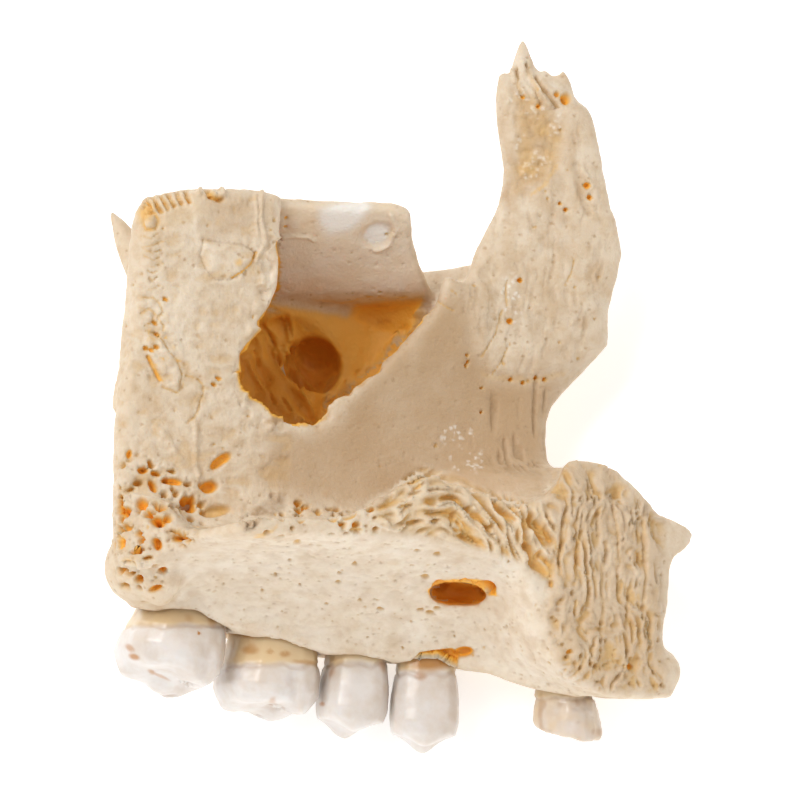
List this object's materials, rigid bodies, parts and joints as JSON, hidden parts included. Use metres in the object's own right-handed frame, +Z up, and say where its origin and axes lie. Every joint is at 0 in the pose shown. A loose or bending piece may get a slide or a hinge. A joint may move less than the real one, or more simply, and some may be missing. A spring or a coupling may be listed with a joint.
{
  "type": "human upper jaw bone",
  "caption": "Left half of a human upper jaw with its frontal and cheek processes, palate, open sinus and some of its teeth, lying on its outer side.",
  "frame": {"origin": "on the floor, under the middle of the bounding box, with the bone at rest on its outer side", "axes": "+Z up from the floor, roughly towards the midline of the face; +Y from the tooth row up to the frontal process; +X from the back of the palate to the front of the jaw"},
  "size_m": [0.06, 0.0692, 0.0351],
  "materials": {
    "bone": "dry, matte, cream bone",
    "tooth": "dull gloss, off-white enamel"
  },
  "bodies": {
    "root": {"maxilla": "bone", "molar_2": "tooth", "molar_1": "tooth", "premolar_2": "tooth", "premolar_1": "tooth", "incisor": "tooth"}
  },
  "joints": []
}
